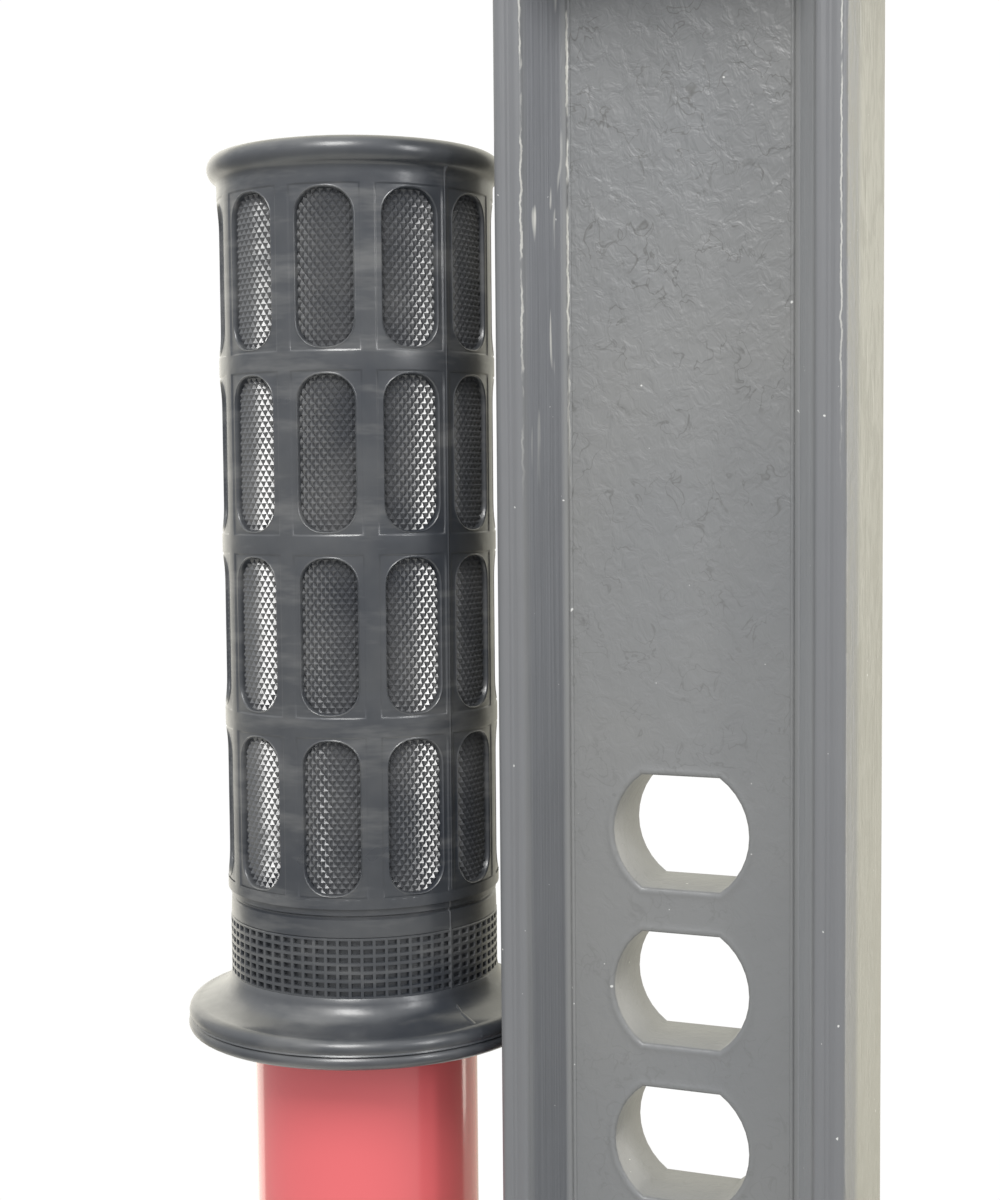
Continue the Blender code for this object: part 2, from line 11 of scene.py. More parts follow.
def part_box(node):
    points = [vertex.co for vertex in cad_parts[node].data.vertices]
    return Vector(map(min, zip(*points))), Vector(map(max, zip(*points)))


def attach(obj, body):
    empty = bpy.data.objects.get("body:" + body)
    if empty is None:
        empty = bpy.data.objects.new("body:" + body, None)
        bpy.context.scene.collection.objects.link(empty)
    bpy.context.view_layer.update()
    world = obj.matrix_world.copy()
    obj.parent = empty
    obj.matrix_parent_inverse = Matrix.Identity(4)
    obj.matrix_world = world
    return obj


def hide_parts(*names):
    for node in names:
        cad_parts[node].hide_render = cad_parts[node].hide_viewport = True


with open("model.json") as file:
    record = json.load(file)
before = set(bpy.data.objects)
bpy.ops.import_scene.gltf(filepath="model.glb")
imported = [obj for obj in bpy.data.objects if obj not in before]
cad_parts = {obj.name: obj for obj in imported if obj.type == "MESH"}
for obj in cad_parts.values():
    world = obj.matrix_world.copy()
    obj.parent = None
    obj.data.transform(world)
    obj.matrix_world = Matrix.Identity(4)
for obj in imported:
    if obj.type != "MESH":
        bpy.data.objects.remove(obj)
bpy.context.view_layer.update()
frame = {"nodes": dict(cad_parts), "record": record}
nodes = frame["nodes"]

MM = 0.001

# places read from the frame, in millimetres
bar_low, bar_high = (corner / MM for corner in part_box("climbing_bar"))
grip_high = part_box("handle_grip")[1] / MM
tube_low, tube_high = (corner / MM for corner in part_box("handle_tube"))
HANDLE_X = (tube_low.x + tube_high.x) / 2
GRIP_TOP = grip_high.z

# the bar's section and holes
BAR_HALF_WIDTH = bar_high.x
BAR_HALF_DEPTH = bar_high.y
HALF_WEB = 5.6
FLANGE_TIP = 4.0
FLANGE_TAPER = 3.4
CELL_HALF = 14.0
HOLE_RADIUS = 9.1
HOLE_HEIGHT = 14.9
HOLE_PITCH = 20.8
HOLE_COUNT = 44
FIRST_HOLE = bar_low.z + 20.6
HOLE_ROUNDING = 0.5
HOLE_LIP = 0.09
CORNER_RADIUS = 1.0
GROOVE_DEPTH = 0.09
GROOVE_HALF = 0.16
PLAIN_STEPS = 40
SIDE_STEPS = 12
END_STEPS = 7

# the grip
BODY_RADIUS = 19.2
SEAM_ANGLE = 64.5
SEAM_GAP = 32.0
PAD_STEP = 35.0
PAD_COLUMNS_PER_HALF = 5
PAD_ROWS = 4
PAD_PITCH = 24.2
FIRST_PAD = 16.9
PAD_HALF_WIDTH = 4.0
PAD_HALF_HEIGHT = 10.35
PAD_CORNER = 3.5
PIT_COLUMNS = 72
PIT_ROWS = 7
PIT_PITCH = 1.14
BAND_TOP = 105.7
BAND_RADIUS = 18.9
PIT_WEB = 0.2
PANEL_DEPTH = 0.13
KNURL_WIDE = 1.15
KNURL_TALL = 1.45
KNURL_COLUMNS = 16
KNURL_ROWS = 30
KNURL_VALLEY = BODY_RADIUS - 1.02
KNURL_HEIGHT = 0.42
RIDGE_HALF = 0.16

# the tube, castings and hardware
TUBE_WALL = 2.65
TUBE_EDGE = 0.5
TUBE_SIDES = 128
CASTING_PASSES = 3
CHAMFER_WIDTH = 0.35
SHARP_ANGLE = 35.0

# meshes and floor
WELD = 0.004
MESH_JOIN = 1e-6
FLOOR_LEVEL = -0.5
FLOOR_RADII = (0.0001, 500.0, 900.0, 1150.0)
FLOOR_EDGE = 1180.0
FLOOR_DROP = 6.0
FLOOR_SIDES = 96


# ---------------------------------------------------------------- meshes


def piece_from(name, bm, angle=40.0):
    """An object from a bmesh drawn in millimetres, welded and shaded smooth up to an angle."""
    bmesh.ops.remove_doubles(bm, verts=bm.verts, dist=WELD)
    bmesh.ops.recalc_face_normals(bm, faces=bm.faces)
    bmesh.ops.scale(bm, vec=(MM, MM, MM), verts=bm.verts)
    mesh = bpy.data.meshes.new(name)
    bm.to_mesh(mesh)
    bm.free()
    made = bpy.data.objects.new(name, mesh)
    bpy.context.scene.collection.objects.link(made)
    mesh.shade_smooth()
    mesh.set_sharp_from_angle(angle=math.radians(angle))
    return made


def arc(centre, radius, start, end, steps):
    """Points on an arc between two angles in degrees, both ends included."""
    angles = [math.radians(start + (end - start) * i / steps) for i in range(steps + 1)]
    return [(centre[0] + radius * math.cos(a), centre[1] + radius * math.sin(a)) for a in angles]


def rectangle_ring(x_low, x_high, y_low, y_high):
    """Points round a rectangle from its lower right corner, in the steps that every cell shares."""
    right = [(x_high, y_low + (y_high - y_low) * i / SIDE_STEPS) for i in range(SIDE_STEPS)]
    top = [(x_high + (x_low - x_high) * i / END_STEPS, y_high) for i in range(END_STEPS)]
    left = [(x_low, y_high + (y_low - y_high) * i / SIDE_STEPS) for i in range(SIDE_STEPS)]
    bottom = [(x_low + (x_high - x_low) * i / END_STEPS, y_low) for i in range(END_STEPS)]
    return right + top + left + bottom


def pad_ring(grow):
    """A rounded rectangle's outline in the cell's steps, pushed out by grow."""
    core_x = PAD_HALF_WIDTH - PAD_CORNER
    core_y = PAD_HALF_HEIGHT - PAD_CORNER
    radius = PAD_CORNER + grow
    half = arc((core_x, -core_y), radius, -45, 0, 3)
    half += [(core_x + radius, -core_y + 2 * core_y * i / 6) for i in range(1, 6)]
    half += arc((core_x, core_y), radius, 0, 90, 6)
    half += arc((-core_x, core_y), radius, 90, 135, 3)[:-1]
    return half + [(-x, -y) for x, y in half]


def hole_ring(grow):
    """The punched hole's outline in the cell's steps: round sides, flat above and below."""
    radius = HOLE_RADIUS + grow
    half_height = HOLE_HEIGHT / 2 + grow
    reach = math.degrees(math.asin(half_height / radius))
    right = arc((0, 0), radius, -reach, reach, SIDE_STEPS)
    corner = right[-1]
    top = [(corner[0] * (1 - 2 * i / END_STEPS), corner[1]) for i in range(1, END_STEPS)]
    half = right + top
    return half + [(-x, -y) for x, y in half]


def add_ring(bm, points, place):
    """Vertices for a ring of flat points, each set in space by place."""
    return [bm.verts.new(place(x, y)) for x, y in points]


def bridge(bm, first, second):
    """Quads between two closed rings of the same count."""
    for i in range(len(first)):
        j = (i + 1) % len(first)
        bm.faces.new((first[i], first[j], second[j], second[i]))


def skin(bm, rows, closed=True):
    """Quads over rows of vertices, each row closed on itself or open."""
    for upper, lower in zip(rows, rows[1:]):
        last = len(upper) if closed else len(upper) - 1
        for i in range(last):
            j = (i + 1) % len(upper)
            bm.faces.new((upper[i], upper[j], lower[j], lower[i]))


def turned(name, outline, x, steps):
    """A round body about a vertical axis at x, from a closed outline of (radius, z) points."""
    bm = bmesh.new()
    angles = [2 * math.pi * i / steps for i in range(steps)]
    rows = [
        [bm.verts.new((x + r * math.cos(a), r * math.sin(a), z)) for a in angles]
        for r, z in outline + outline[:1]
    ]
    skin(bm, rows)
    return piece_from(name, bm)


# ---------------------------------------------------------------- bar


def flange_outline():
    """Half of the bar's section from the front web's edge round the +X flange to the back web's edge."""
    tip = BAR_HALF_WIDTH - FLANGE_TIP
    root = tip - FLANGE_TAPER
    face = -BAR_HALF_DEPTH
    front = [(CELL_HALF, -HALF_WEB), (root - 1.5, -HALF_WEB)]
    front += arc((root - 0.75, -HALF_WEB), 0.30, 180, 350, 5)
    front += arc((root - 0.1, -HALF_WEB - 0.8), 0.55, 80, 28, 3)
    front += arc((tip + 0.55, face + 0.6), 0.6, 208, 270, 4)
    for groove in (tip + 1.5, tip + 2.1):
        front += [(groove - GROOVE_HALF, face), (groove, face + GROOVE_DEPTH), (groove + GROOVE_HALF, face)]
    corner = (BAR_HALF_WIDTH - CORNER_RADIUS, face + CORNER_RADIUS)
    front += arc(corner, CORNER_RADIUS, 270, 360, 6)
    front += [(BAR_HALF_WIDTH, -4.0)]
    return front + [(x, -y) for x, y in reversed(front)]


def bar_levels():
    """Heights of the rows along the bar: a fixed count of steps in each hole's cell, then plain bar."""
    cell_low = FIRST_HOLE - HOLE_PITCH / 2
    step = HOLE_PITCH / SIDE_STEPS
    punched = [cell_low + step * i for i in range(HOLE_COUNT * SIDE_STEPS + 1)]
    rise = (bar_high.z - punched[-1]) / PLAIN_STEPS
    below = [bar_low.z, (bar_low.z + cell_low) / 2]
    return below + punched + [punched[-1] + rise * (i + 1) for i in range(PLAIN_STEPS)]


def hole_edge():
    """Each ring's distance outside the hole and its depth under the web's face, negative on the lip."""
    lip = [(1.6, 0.0), (1.05, 0.0), (0.85, -0.05), (0.65, -HOLE_LIP)]
    turns = (0, 0.4, 0.8, 1.2, math.pi / 2)
    for a in turns:
        lip.append((HOLE_ROUNDING * (1 - math.sin(a)), HOLE_ROUNDING * (1 - math.cos(a)) - HOLE_LIP))
    return lip


def make_bar():
    """The I-beam as one skin: flanges, plain web, and a cell of rings round every punched hole."""
    bm = bmesh.new()
    levels = bar_levels()
    outline = flange_outline()
    for side in (1, -1):
        rows = [[bm.verts.new((side * x, y, z)) for x, y in outline] for z in levels]
        skin(bm, rows, closed=False)
    across = [CELL_HALF * (1 - 2 * i / END_STEPS) for i in range(END_STEPS + 1)]
    punched_from = 2
    punched_to = punched_from + HOLE_COUNT * SIDE_STEPS
    for y in (-HALF_WEB, HALF_WEB):
        for run in (levels[: punched_from + 1], levels[punched_to:]):
            rows = [[bm.verts.new((x, y, z)) for x in across] for z in run]
            skin(bm, rows, closed=False)
    half_cell = HOLE_PITCH / 2
    for k in range(HOLE_COUNT):
        middle = FIRST_HOLE + k * HOLE_PITCH
        chain = []
        for side in (-1, 1):
            rings = [(rectangle_ring(-CELL_HALF, CELL_HALF, -half_cell, half_cell), 0.0)]
            rings += [(hole_ring(grow), sink) for grow, sink in hole_edge()]
            made = [
                add_ring(bm, ring, lambda x, z, s=side, d=sink: (x, s * (HALF_WEB - d), middle + z))
                for ring, sink in rings
            ]
            chain.append(made)
        rings = chain[0] + list(reversed(chain[1]))
        for first, second in zip(rings, rings[1:]):
            bridge(bm, first, second)
    for z in (levels[0], levels[-1]):
        cap_edge = [bm.verts.new((x, y, z)) for x, y in outline]
        cap_edge += [bm.verts.new((x, HALF_WEB, z)) for x in across[1:-1]]
        cap_edge += [bm.verts.new((-x, y, z)) for x, y in reversed(outline)]
        cap_edge += [bm.verts.new((x, -HALF_WEB, z)) for x in reversed(across[1:-1])]
        bm.faces.new(cap_edge)
    return piece_from("punched_bar", bm, angle=60)


# ---------------------------------------------------------------- grip


def on_grip(angle, radius, down):
    """A point on the grip. Angle in degrees from -Y towards +X, down in millimetres from the grip's top."""
    a = math.radians(angle)
    return (HANDLE_X + radius * math.sin(a), -radius * math.cos(a), GRIP_TOP - down)


def pad_angles():
    """Centre angle of each pad column, and how far its cell reaches to the seam or the next column."""
    found = []
    last = PAD_COLUMNS_PER_HALF - 1
    for side in (-1, 1):
        for k in range(PAD_COLUMNS_PER_HALF):
            offset = SEAM_GAP / 2 + PAD_STEP * k
            near = offset - PAD_STEP / 2 if k > 0 else 0.0
            far = offset + PAD_STEP / 2 if k < last else 180.0
            low, high = sorted((SEAM_ANGLE + side * near, SEAM_ANGLE + side * far))
            found.append((SEAM_ANGLE + side * offset, low, high))
    return found


def grip_angles():
    """The angles that all of the grip's rows share."""
    angles = []
    for _, low, high in pad_angles():
        angles += [low + (high - low) * i / END_STEPS for i in range(END_STEPS)]
    return sorted(a % 360 for a in angles)


def round_rows(bm, profile, angles):
    """A skin turned about the grip's axis, from (radius, down) points."""
    rows = [[bm.verts.new(on_grip(a, r, d)) for a in angles] for r, d in profile]
    skin(bm, rows)


def knurl(bm, centre, middle):
    """A field of sharp diamonds behind a pad's opening."""
    grid = []
    for j in range(KNURL_ROWS + 1):
        line = []
        for i in range(KNURL_COLUMNS + 1):
            s = (i - KNURL_COLUMNS / 2) * KNURL_WIDE / 2
            down = middle + (j - KNURL_ROWS / 2) * KNURL_TALL / 2
            radius = KNURL_VALLEY + (KNURL_HEIGHT if (i + j) % 2 == 0 else 0.0)
            line.append(bm.verts.new(on_grip(centre + math.degrees(s / BODY_RADIUS), radius, down)))
        grid.append(line)
    for j in range(KNURL_ROWS):
        for i in range(KNURL_COLUMNS):
            a = grid[j][i]
            b = grid[j][i + 1]
            c = grid[j + 1][i + 1]
            d = grid[j + 1][i]
            if (i + j) % 2 == 0:
                bm.faces.new((a, b, d))
                bm.faces.new((b, c, d))
            else:
                bm.faces.new((a, b, c))
                bm.faces.new((a, c, d))


def window_rings(left, right):
    """Rings from a cell's border in to the bottom of its window, each with its height off the body."""
    half = PAD_PITCH / 2
    step_x = PAD_HALF_WIDTH + 0.75
    step_y = PAD_HALF_HEIGHT + 0.35
    rings = [(rectangle_ring(left, right, -half, half), 0.0)]
    for out_x, out_y, height in (
        (0.30, 0.26, 0.0),
        (0.16, 0.14, -0.01),
        (0.0, 0.0, -PANEL_DEPTH),
        (-0.08, -0.06, -PANEL_DEPTH),
    ):
        x = step_x + out_x
        y = step_y + out_y
        rings.append((rectangle_ring(-x, x, -y, y), height))
    for grow, height in (
        (0.26, -PANEL_DEPTH),
        (0.20, -PANEL_DEPTH + 0.01),
        (0.10, -PANEL_DEPTH + 0.09),
        (0.02, -PANEL_DEPTH + 0.05),
        (-0.05, -PANEL_DEPTH - 0.12),
        (-0.10, -PANEL_DEPTH - 0.4),
        (-0.12, -1.3),
    ):
        rings.append((pad_ring(grow), height))
    return rings


def grip_head(low):
    """The profile of the grip's closed top and its bead, down to the first windows."""
    crown = [(0.01, 0.25), (6.0, 0.2), (12.0, 0.12), (16.5, 0.03)]
    rim = arc((18.65, 1.87), 1.87, 270, 425, 12)
    return crown + rim + [(19.29, 3.9), (19.22, 4.3), (BODY_RADIUS, 4.8), (BODY_RADIUS, low)]


def grip_foot(high):
    """The profile below the windows: two steps, the pit band's seat, the flange and the mouth."""
    steps = [(BODY_RADIUS, high), (BODY_RADIUS, 100.1), (19.02, 100.35), (18.86, 100.6), (18.80, 102.5)]
    groove = [(18.45, 102.75), (18.45, 102.95), (18.76, 103.15), (18.82, 105.2), (18.78, 105.5)]
    seat = [(18.0, 105.7), (18.0, 113.5), (18.80, 113.62)]
    sweep = [(18.98, 113.8), (19.12, 114.5), (19.50, 115.35), (20.15, 116.1), (21.1, 116.75)]
    sweep += [(22.3, 117.25), (23.3, 117.6)]
    flange = arc((23.5, 119.1), 1.5, -84, -5, 6)
    flange += [(24.93, 119.35), (24.86, 119.55), (24.98, 119.75)]
    flange += arc((24.10, 120.72), 1.0, -55, 90, 7)
    mouth = [(23.0, 121.75), (17.2, 121.75), (16.2, 121.3), (16.2, 118.0)]
    return steps + groove + seat + sweep + flange + mouth


def on_cell(centre, middle, s, t, height):
    """A point on the body, s and t millimetres across and up from a window's middle."""
    return on_grip(centre + math.degrees(s / BODY_RADIUS), BODY_RADIUS + height, middle - t)


def make_grip_body():
    """The moulded body with its recessed panels and obround openings, bead, collar and flange."""
    bm = bmesh.new()
    for centre, low, high in pad_angles():
        left = math.radians(low - centre) * BODY_RADIUS
        right = math.radians(high - centre) * BODY_RADIUS
        for row in range(PAD_ROWS):
            middle = FIRST_PAD + PAD_PITCH * row
            made = [
                add_ring(bm, ring, lambda s, t, h=height: on_cell(centre, middle, s, t, h))
                for ring, height in window_rings(left, right)
            ]
            for first, second in zip(made, made[1:]):
                bridge(bm, first, second)
    angles = grip_angles()
    round_rows(bm, grip_head(FIRST_PAD - PAD_PITCH / 2), angles)
    round_rows(bm, grip_foot(FIRST_PAD + PAD_PITCH * (PAD_ROWS - 0.5)), angles)
    return piece_from("grip_body", bm, angle=48)


def make_knurled_pads():
    """The knurled fields that show through the grip's windows."""
    bm = bmesh.new()
    for centre, _, _ in pad_angles():
        for row in range(PAD_ROWS):
            knurl(bm, centre, FIRST_PAD + PAD_PITCH * row)
    return piece_from("grip_pads", bm, angle=8)


def make_pit_band():
    """A band of square pits round the foot of the grip, with a fine web between them."""
    bm = bmesh.new()
    pitch = 360.0 / PIT_COLUMNS
    inset = math.degrees(PIT_WEB / BAND_RADIUS)
    depths = ((0.0, 0.0, 0.0), (1.0, 1.0, 0.02), (1.25, 1.25, 0.12), (1.5, 1.4, 0.62))
    for i in range(PIT_COLUMNS):
        for j in range(PIT_ROWS):
            left = i * pitch
            top = BAND_TOP + j * PIT_PITCH
            made = []
            for across, along, sunk in depths:
                a = left + across * inset
                b = left + pitch - across * inset
                c = top + along * PIT_WEB
                d = top + PIT_PITCH - along * PIT_WEB
                corners = [(a, c), (b, c), (b, d), (a, d)]
                radius = BAND_RADIUS - sunk
                made.append([bm.verts.new(on_grip(angle, radius, down)) for angle, down in corners])
            for first, second in zip(made, made[1:]):
                bridge(bm, first, second)
            bm.faces.new(made[-1])
    angles = [i * pitch for i in range(PIT_COLUMNS)]
    rim = [(17.9, 0.15), (18.75, 0.12), (BAND_RADIUS, 0.0)]
    bottom = BAND_TOP + PIT_PITCH * PIT_ROWS
    round_rows(bm, [(radius, BAND_TOP - past) for radius, past in rim], angles)
    round_rows(bm, [(radius, bottom + past) for radius, past in reversed(rim)], angles)
    return piece_from("grip_pit_band", bm, angle=40)


def make_seam():
    """The fine ridge that the mould's parting line leaves on both sides of the grip."""
    bm = bmesh.new()
    profile = [(17.6, 0.25), (18.75, -0.02), (20.15, 0.75), (20.62, 1.85), (20.15, 2.95), (19.45, 4.1)]
    profile += [(19.34, 6.0), (19.34, 99.9), (18.98, 100.6), (18.94, 102.4), (18.6, 102.8), (18.9, 103.2)]
    profile += [(19.0, 105.6), (19.02, 113.9), (19.25, 114.9), (19.62, 115.5), (21.0, 116.6)]
    profile += [(23.5, 117.55), (24.3, 117.85), (24.9, 118.4), (25.1, 119.1)]
    ridge = ((-2.2, 0.35), (-0.6, 0.07), (0.6, 0.07), (2.2, 0.35))
    for seam in (SEAM_ANGLE, SEAM_ANGLE + 180.0):
        rows = []
        for r, d in profile:
            wide = math.degrees(RIDGE_HALF / r)
            rows.append([bm.verts.new(on_grip(seam + off * wide, r - sunk, d)) for off, sunk in ridge])
        skin(bm, rows, closed=False)
    return piece_from("grip_parting_line", bm, angle=60)


# ---------------------------------------------------------------- handle tube and castings


def make_tube():
    """The handle tube, open at both ends, in short lengths so that it shades evenly."""
    outer = (tube_high.x - tube_low.x) / 2
    inner = outer - TUBE_WALL
    low = tube_low.z
    high = tube_high.z
    outline = [(inner, low), (outer - TUBE_EDGE, low), (outer, low + TUBE_EDGE)]
    outline += [(outer, low + (high - low) * i / 12) for i in range(1, 12)]
    outline += [(outer, high - TUBE_EDGE), (outer - TUBE_EDGE, high), (inner, high)]
    return turned("red_tube", outline, HANDLE_X, TUBE_SIDES)


def copy_of(node, name, flatten):
    """A new object with a CAD node's mesh, its corners joined and, if asked, its flat faces made whole."""
    mesh = nodes[node].data.copy()
    made = bpy.data.objects.new(name, mesh)
    bpy.context.scene.collection.objects.link(made)
    bm = bmesh.new()
    bm.from_mesh(mesh)
    bmesh.ops.remove_doubles(bm, verts=bm.verts, dist=MESH_JOIN)
    if flatten:
        bmesh.ops.dissolve_limit(bm, angle_limit=math.radians(1), verts=bm.verts, edges=bm.edges)
    bm.to_mesh(mesh)
    bm.free()
    return made


def rounded_casting(node, voxel):
    """A casting's own shape with its edges softened as sand casting and paint leave them."""
    made = copy_of(node, node + "_cast", flatten=False)
    remesh = made.modifiers.new("remesh", "REMESH")
    remesh.mode = "VOXEL"
    remesh.voxel_size = voxel * MM
    soften = made.modifiers.new("soften", "SMOOTH")
    soften.factor = 0.5
    soften.iterations = CASTING_PASSES
    settle(made)
    made.data.shade_smooth()
    return made


def machined(node):
    """Bright hardware: the CAD shape with small chamfered edges."""
    made = copy_of(node, node + "_finished", flatten=True)
    chamfer = made.modifiers.new("chamfer", "BEVEL")
    chamfer.width = CHAMFER_WIDTH * MM
    chamfer.segments = 2
    chamfer.limit_method = "ANGLE"
    chamfer.angle_limit = math.radians(SHARP_ANGLE)
    settle(made)
    made.data.shade_smooth()
    made.data.set_sharp_from_angle(angle=math.radians(SHARP_ANGLE))
    return made


def settle(made):
    """Applies the modifiers."""
    graph = bpy.context.evaluated_depsgraph_get()
    graph.update()
    done = bpy.data.meshes.new_from_object(made.evaluated_get(graph))
    made.modifiers.clear()
    made.data = done


# ---------------------------------------------------------------- materials


class Shading:
    """A material under construction, with short names for the nodes it uses."""

    def __init__(self, name):
        self.made = bpy.data.materials.new(name)
        self.made.use_nodes = True
        self.tree = self.made.node_tree
        self.shader = self.tree.nodes["Principled BSDF"]
        self.place = self.node("ShaderNodeTexCoord").outputs["Object"]

    def node(self, kind, **values):
        """A new node, with its settings such as operation."""
        made = self.tree.nodes.new(kind)
        for key, value in values.items():
            setattr(made, key, value)
        return made

    def link(self, source, target):
        self.tree.links.new(source, target)

    def set(self, **values):
        """Uniform values on the shader's own sockets."""
        for key, value in values.items():
            self.shader.inputs[key.replace("_", " ")].default_value = value

    def noise(self, scale, detail, roughness=0.5, stretch=(1, 1, 1), distortion=0.0):
        mapping = self.node("ShaderNodeMapping")
        mapping.inputs["Scale"].default_value = stretch
        self.link(self.place, mapping.inputs["Vector"])
        made = self.node("ShaderNodeTexNoise")
        made.inputs["Scale"].default_value = scale
        made.inputs["Detail"].default_value = detail
        made.inputs["Roughness"].default_value = roughness
        made.inputs["Distortion"].default_value = distortion
        self.link(mapping.outputs["Vector"], made.inputs["Vector"])
        return made.outputs["Fac"]

    def ramp(self, source, stops):
        """A colour that follows source through the stops."""
        made = self.node("ShaderNodeValToRGB")
        elements = made.color_ramp.elements
        while len(elements) < len(stops):
            elements.new(0.5)
        for element, (at, colour) in zip(elements, stops):
            element.position = at
            element.color = (*colour, 1.0)
        self.link(source, made.inputs["Fac"])
        return made.outputs["Color"]

    def tones(self, source, dark, light, start=0.3, end=0.7):
        """A colour that follows source from dark to light."""
        return self.ramp(source, [(start, dark), (end, light)])

    def mask(self, source, start, end, low=0.0, high=1.0):
        """A grey that follows source from low to high."""
        return self.ramp(source, [(start, (low, low, low)), (end, (high, high, high))])

    def off(self, source, place=0.0):
        """How far source is from a place, either way."""
        gap = self.node("ShaderNodeMath", operation="SUBTRACT")
        self.link(source, gap.inputs[0])
        gap.inputs[1].default_value = place
        made = self.node("ShaderNodeMath", operation="ABSOLUTE")
        self.link(gap.outputs[0], made.inputs[0])
        return made.outputs[0]

    def times(self, first, second):
        made = self.node("ShaderNodeMath", operation="MULTIPLY")
        self.link(first, made.inputs[0])
        self.link(second, made.inputs[1])
        return made.outputs[0]

    def blend(self, share, under, colour):
        """Lays a plain colour over another, as much as share says."""
        made = self.node("ShaderNodeMix", data_type="RGBA")
        self.link(share, made.inputs["Factor"])
        self.link(under, made.inputs[6])
        made.inputs[7].default_value = (*colour, 1.0)
        return made.outputs[2]

    def span(self, source, low, high, start=0.0, end=1.0):
        """A value that goes from low to high as source goes from start to end."""
        made = self.node("ShaderNodeMapRange")
        made.inputs["From Min"].default_value = start
        made.inputs["From Max"].default_value = end
        made.inputs["To Min"].default_value = low
        made.inputs["To Max"].default_value = high
        self.link(source, made.inputs["Value"])
        return made.outputs["Result"]

    def bump(self, height, strength, distance, under=None):
        made = self.node("ShaderNodeBump")
        made.inputs["Strength"].default_value = strength
        made.inputs["Distance"].default_value = distance
        self.link(height, made.inputs["Height"])
        if under is not None:
            self.link(under, made.inputs["Normal"])
        return made.outputs["Normal"]

    def finish(self, colour, rough=None, normal=None):
        self.link(colour, self.shader.inputs["Base Color"])
        if rough is not None:
            self.link(rough, self.shader.inputs["Roughness"])
        if normal is not None:
            self.link(normal, self.shader.inputs["Normal"])
        return self.made


# the bar's zones, in metres from the middle of its section
WEB_END = (0.0145, 0.0153)
FLANGE_START = (0.0150, 0.0157)
WALL_START = (0.0155, 0.0160)
WALL_END = (0.0184, 0.0190)
TIP_START = (0.0186, 0.0192)
SIDE_START = (0.0226, 0.0229)
FRONT_END = (-0.0060, -0.0035)
# edges that get thin painted highlight lines: place, strength and half width
EDGE_HIGHLIGHT_LINES = ((-0.01495, 1.0, 0.00022), (-0.01905, 0.6, 0.00012), (0.02225, 0.6, 0.00012))
HIGHLIGHT_COLOUR = (0.68, 0.67, 0.62)


def painted_edge_highlights(m, x, height, wall, colour):
    """Lays painted highlights: thin broken light lines over the edges near the bar's top, and short light
    streaks on the left inner wall.
    """
    broken = m.mask(m.noise(330.0, 3.0, 0.6, (1, 1, 0.4)), 0.40, 0.50)
    high = m.span(height, 0.0, 1.0, 0.970, 0.995)
    wander = m.span(m.noise(520.0, 3.0, 0.6), -0.00028, 0.00028)
    place = m.node("ShaderNodeMath", operation="ADD")
    m.link(x, place.inputs[0])
    m.link(wander, place.inputs[1])
    for edge, strength, half_width in EDGE_HIGHLIGHT_LINES:
        distance = m.off(place.outputs[0], edge)
        line = m.span(distance, strength, 0.0, half_width * 0.5, half_width)
        colour = m.blend(m.times(m.times(line, broken), high), colour, HIGHLIGHT_COLOUR)
    streaks = m.mask(m.noise(420.0, 2.0, 0.5, (1, 1, 0.14), 0.4), 0.62, 0.68)
    return m.blend(m.times(m.times(streaks, wall), high), colour, HIGHLIGHT_COLOUR)


